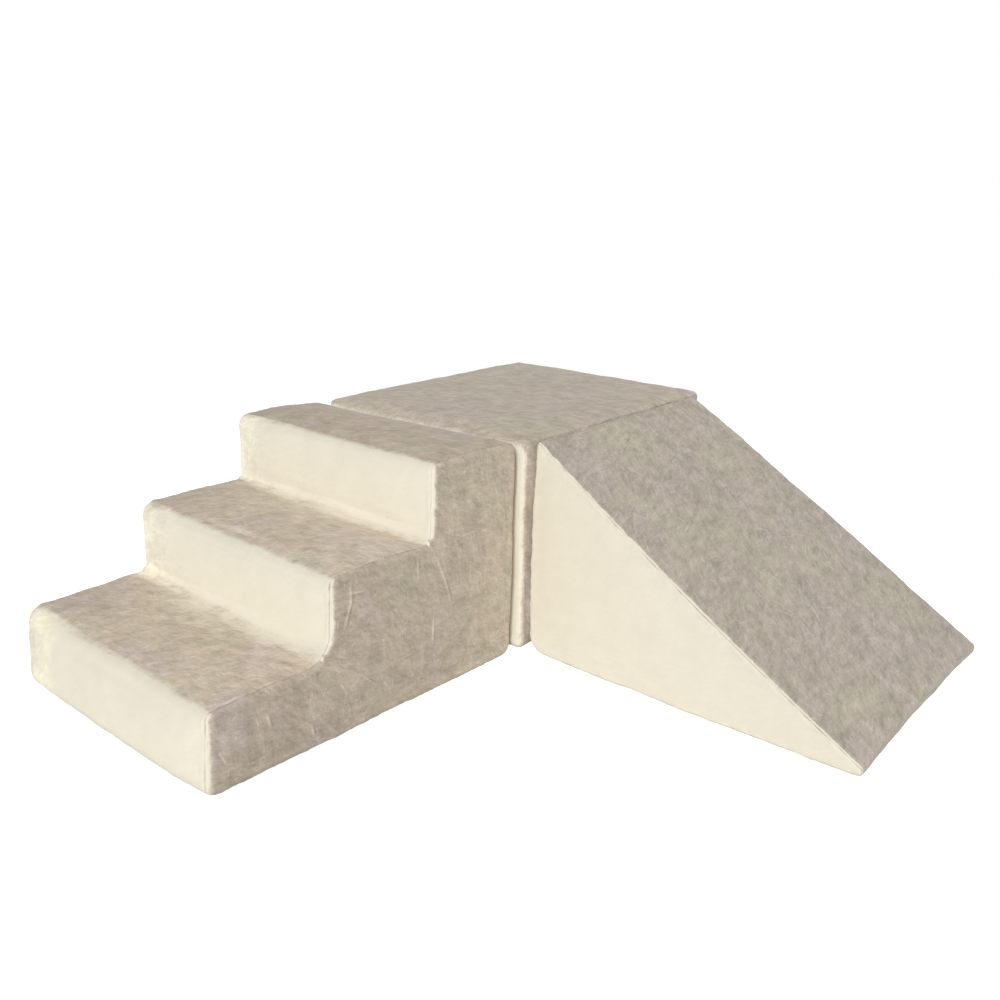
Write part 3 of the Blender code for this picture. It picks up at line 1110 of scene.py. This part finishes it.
def panelOf(block, centre):
    # the panel that a face belongs to; the zip's opening has none
    low, high, x = block["zipRoom"]
    slack = cover["panelSlack"]
    if abs(centre.x - x) < slack and low.y < centre.y < high.y and low.z < centre.z < high.z:
        return None
    if offSeam(block, centre) < 0:
        return "left_side_panel" if centre.x < block["width"] / 2 else "right_side_panel"
    if centre.z < slack and block["baseSeamFront"] < centre.y < block["length"] - block["baseSeamBack"]:
        return "base_panel"
    return block["strip"]


def alongOutline(block, point):
    # distance round the outline, for the strip's own cloth pattern; it runs on evenly round the corners
    full = sum((after - here).length for here, after in block["sides"])
    travelled, total, weight = 0.0, 0.0, 0.0
    for here, after in block["sides"]:
        length = (after - here).length
        share, off = nearestOn(here, after, point.yz)
        near = (off + 1e-4) ** -4
        # the strip ends under the block, so its front end carries on from the front side
        place = travelled + share * length + (full if travelled == 0.0 and share < 0.5 else 0.0)
        total += near * place
        weight += near
        travelled += length
    return total / weight


def clothPlace(block, name, vert, layers):
    # where a point lies on its flat panel of cloth, in metres
    rest = vert[layers["rest"]]
    off = offSeam(block, rest) + block["seamAt"]
    if name == "base_panel":
        return rest.x, rest.y
    if "side" not in name:
        return rest.x, alongOutline(block, rest)
    if off <= 0:
        return rest.y, rest.z
    radius = block["edgeRadius"]
    wrapped = vert[layers["outward"]] * (off - radius * math.sin(off / radius))
    return rest.y + wrapped.y, rest.z + wrapped.z


# how the pile lies, and where light is painted into its colour; a band says where something starts and how
# far on it is complete
pileAndLight = {
    "noseBand": (-0.03, 0.02),
    "spillLay": 0.62,
    "spillFlat": 0.2,
    "spillBack": 0.02,
    "spillUp": 0.10,
    "spillFade": 0.05,
    "leftDepth": 0.90,
    "leftRise": 0.10,
    "leftBand": (0.0, 0.45),
    "rightRise": 0.08,
    "rightBand": (0.6, 0.4),
    "brushedBand": (0.03, 0.14),
    "uprightFrom": 0.01,
    "uprightFade": 0.03,
    "backRise": 0.10,
    "backBand": (0.70, 0.30),
}


def shadeOf(block, rest, normal):
    # what the pile does at a point: its pale share is how far it faces the light side, partly the pile's lay
    # and partly painted light
    p = pileAndLight
    shade = {"lay": -normal.y, "softLay": 0.0, "brushed": 0.0}
    shade["depth"], shade["cool"] = block["treadDepths"][0], block["cool"]
    share, off = rest.x / block["width"], offSeam(block, rest)
    # painted shade where the cloth faces up and towards the light at once, taking back the highlight that
    # the lamp gives there
    shade["dim"] = max(-2 * normal.y * normal.z, 0.0)
    shade["lay"] -= block["noseShade"] * rising(rest.z - block["height"], *p["noseBand"])
    for corner, spill in zip(block["creases"], block.get("spills", ())):
        reach = acrossValue(spill, share)
        ahead, above = corner[0] - rest.y, rest.z - corner[1]
        if off >= 0 and -p["spillBack"] < ahead and -p["spillBack"] < above < p["spillUp"]:
            near = 1.0 - rising(max(ahead, 0.0), p["spillFlat"] * reach, reach)
            shade["lay"] = max(shade["lay"], p["spillLay"] * near)
            soft = 1.0 - rising(math.hypot(ahead, above), reach, p["spillFade"])
            shade["softLay"] = max(shade["softLay"], soft)
    if block["name"] == "steps":
        count = block["stepCount"]
        tread = min(int(rest.z / block["height"] * count - 0.5), count - 1)
        left = p["leftDepth"] + p["leftRise"] * rising(share, *p["leftBand"])
        shade["depth"] = block["treadDepths"][max(tread, 0)] * left
        if tread < count - 1:
            shade["depth"] *= 1.0 + p["rightRise"] * rising(share, *p["rightBand"])
        shade["brushed"] = 1.0 - rising(rest.x, *p["brushedBand"])
    if block["name"] == "platform":
        shade["softLay"] = smooth((block["height"] - p["uprightFrom"] - rest.z) / p["uprightFade"])
    if off < 0:
        shade["cool"], shade["depth"] = block["sideCool"], block["sideDepth"]
        # brighter towards the back: painted light reflected there from the ramp's pale side
        if block["name"] == "steps":
            shade["depth"] *= 1.0 + p["backRise"] * rising(rest.y / block["length"], *p["backBand"])
    shade["seam"] = seamShow(block, rest) * math.exp(-((off / cover["seamSpread"]) ** 2))
    far, full = foldAt(block, rest)
    shade["fold"] = math.exp(-((far / cover["foldShade"]) ** 2)) * full
    return shade


def makeCovers(block):
    tree, moves = swell(block)
    bm = shapeOf(block)
    refineFolds(block, bm)
    bm.normal_update()
    rest = bm.verts.layers.float_vector.new("rest")
    names = ("lay", "softLay", "brushed", "depth", "cool", "dim", "seam", "fold")
    layers = {name: bm.verts.layers.float.new(name) for name in names}
    turn = block["toWorld"].to_3x3()
    places = [v.co + clothMove(block, v.co, v.normal, tree, moves) for v in bm.verts]
    for v, place in zip(bm.verts, places):
        v[rest] = v.co
        v.co = place
    bm.normal_update()
    for v in bm.verts:
        for name, value in shadeOf(block, v[rest], turn @ v.normal).items():
            v[layers[name]] = value
    owner = {}
    for f in bm.faces:
        centre = Vector()
        for v in f.verts:
            centre += v[rest]
        owner[f.index] = panelOf(block, centre / len(f.verts))
    for name in ("left_side_panel", "right_side_panel", block["strip"], "base_panel"):
        makePanel(block, bm, owner, name)
    bm.free()
    makeFoam(block, tree, moves)
    print(block["name"], "cover made")


def addPiece(block, bm, name, node, finish):
    # puts a piece into the scene in place of its solid
    for f in bm.faces:
        f.smooth = True
    bmesh.ops.transform(bm, matrix=block["toWorld"], verts=bm.verts)
    obj = addObject(f"{block['name']}_{name}", bm)
    obj.data.materials.append(finishes[finish])
    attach(obj, block["body"])
    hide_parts(f"{block['name']}_{node}")
    return obj


def makePanel(block, whole, owner, name):
    bm = whole.copy()
    bm.faces.ensure_lookup_table()
    bmesh.ops.delete(bm, geom=[f for f in bm.faces if owner[f.index] != name], context="FACES")
    layers = {key: bm.verts.layers.float_vector[key] for key in ("rest", "outward")}
    uv = bm.loops.layers.uv.new("cloth")
    for f in bm.faces:
        for corner in f.loops:
            corner[uv].uv = clothPlace(block, name, corner.vert, layers)
    for v in bm.verts:
        if v.is_boundary and abs(offSeam(block, v[layers["rest"]])) < 1e-4:
            outer = 1 if v.co.x > block["width"] / 2 else -1
            v.co.x += cover["seamGap"] * outer * (1 if "side" in name else -1)
    for e in bm.edges:
        if e.is_boundary:
            e.smooth = False
    for key in ("outline", "outward", "rest"):
        bm.verts.layers.float_vector.remove(bm.verts.layers.float_vector[key])
    finish, slotName = ("grip", "grip_cloth") if name == "base_panel" else ("velvet", "velvet")
    clothName = name.replace("panel", "cloth").replace("strip", "cloth")
    obj = addPiece(block, bm, clothName, name, finish)
    shell = obj.modifiers.new("cloth thickness", "SOLIDIFY")
    shell.thickness = cover["clothThickness"]
    shell.offset = -1


def makeFoam(block, tree, moves):
    bm = coarseShape(block)
    places = []
    for v in bm.verts:
        place = v.co + clothMove(block, v.co, v.normal, tree, moves) - v.normal * cover["foamInset"]
        place.z = max(place.z, cover["foamInset"])
        places.append(place)
    for v, place in zip(bm.verts, places):
        v.co = place
    obj = addPiece(block, bm, "foam", "foam_core", "foam")


zipParts = {
    "tape": ("upper_tape", "lower_tape"),
    "nylon": ("chain",),
    "nickel": ("closed_stop", "open_stop", "slider", "pull"),
}


def finishZip(block):
    for finish, parts in zipParts.items():
        for part in parts:
            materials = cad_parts[f"{block['name']}_zip_{part}"].data.materials
            materials.clear()
            materials.append(finishes[finish])


addCamera(cameraPlace)
addStudio(studio)
finishes = {kind: hiddenFinish(kind) for kind in hidden}
finishes["velvet"] = velvetFinish(crushedPile())
print("finishes made")

for number, block in enumerate((stepsBlock, platformBlock, rampBlock)):
    block["seed"] = Vector((7.3, 2.9, 5.1)) * (number + 1)
    measureBlock(block)
    makeCovers(block)
    finishZip(block)
